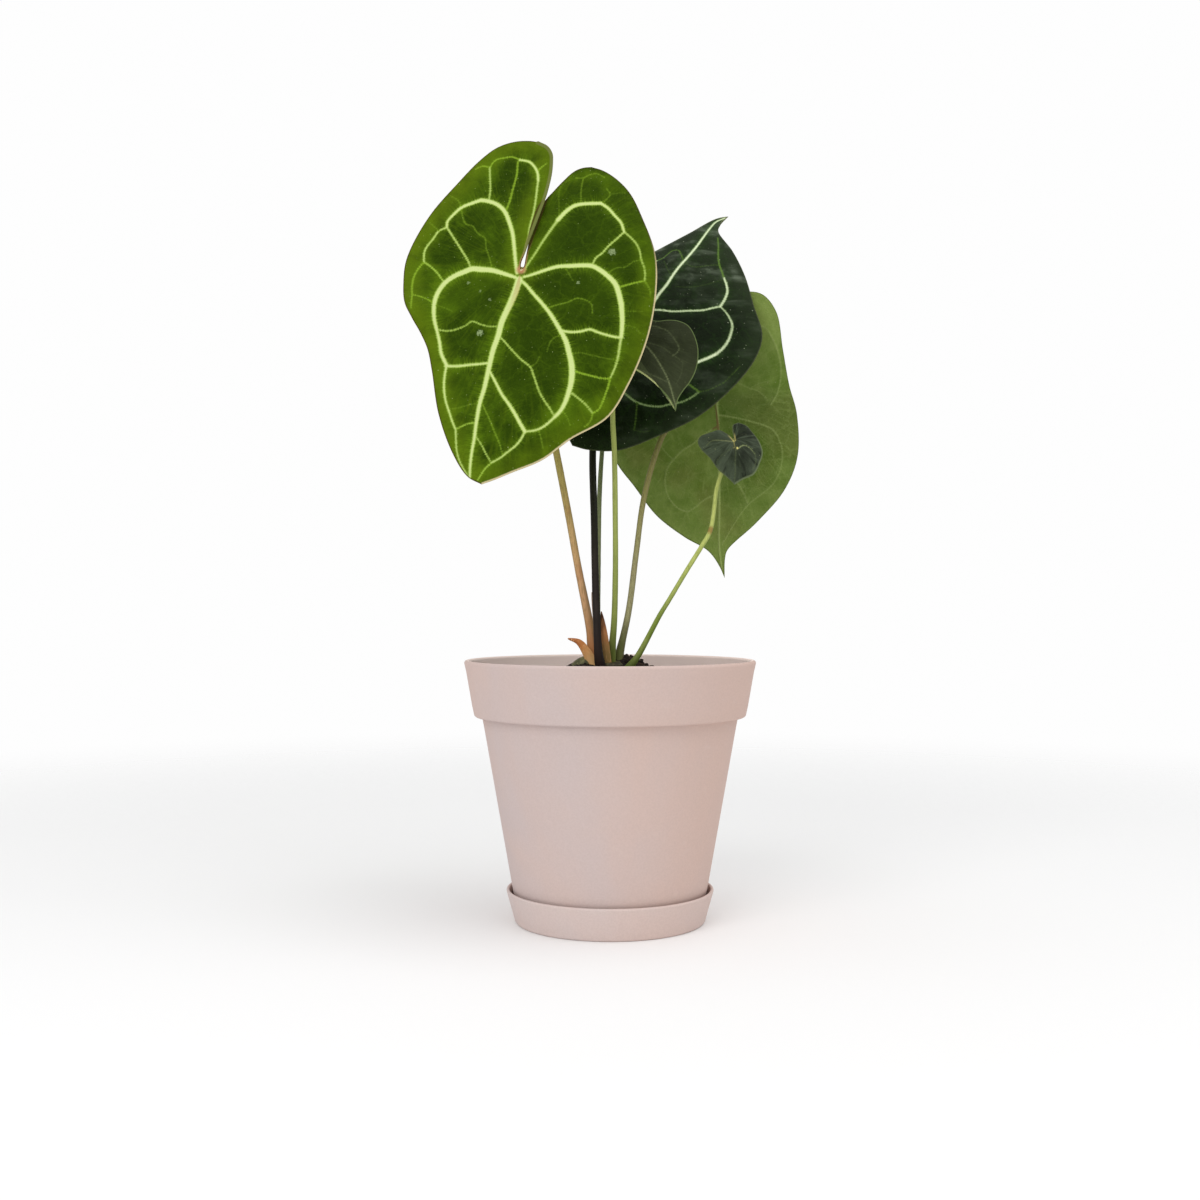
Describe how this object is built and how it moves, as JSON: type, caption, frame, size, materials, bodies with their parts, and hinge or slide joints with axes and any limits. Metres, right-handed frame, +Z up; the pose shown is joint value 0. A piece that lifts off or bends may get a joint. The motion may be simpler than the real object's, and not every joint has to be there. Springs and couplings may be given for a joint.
{
  "type": "potted anthurium clarinervium",
  "caption": "Young aroid house plant with heart-shaped, pale-veined leaves on upright stalks, growing in a round tapered pot with a tall collar that stands in a shallow saucer.",
  "frame": {"origin": "centre of the saucer's flat underside, on the axis of the pot", "axes": "+Z up along the axis of the pot, -Y towards the front of the plant, +X to the right seen from the front"},
  "size_m": [0.2526, 0.2055, 0.4844],
  "materials": {
    "saucer": "matt, pale greyish pink",
    "pot": "matt, pale greyish pink with faint mottling",
    "soil": "rough dark potting mix with bark chips",
    "crown": "dull olive green and brown, ringed",
    "roots": "pale, fleshy, slightly rough",
    "scale": "dry, papery, orange brown",
    "stalk_tan": "smooth, tan",
    "stalk_dark": "smooth, nearly black",
    "stalk_green": "smooth, green",
    "leaf_bright": "leathery, satin, pale green veins",
    "leaf_dark": "leathery, velvety dark green, pale veins",
    "leaf_pale": "matt pale green underside",
    "leaf_young": "soft, grey green to nearly black"
  },
  "bodies": {
    "root": {"saucer": "saucer", "pot": "pot", "soil": "soil", "crown": "crown", "roots": "roots", "scale_left": "scale", "scale_right": "scale", "scale_back": "scale", "stalk_1": "stalk_tan", "stalk_2": "stalk_dark", "stalk_3": "stalk_green", "stalk_4": "stalk_green", "stalk_5": "stalk_tan", "stalk_6": "stalk_green", "leaf_1": "leaf_bright", "leaf_2": "leaf_dark", "leaf_3": "leaf_pale", "leaf_4": "leaf_young", "leaf_5": "leaf_young", "leaf_6": "leaf_young"}
  },
  "joints": []
}
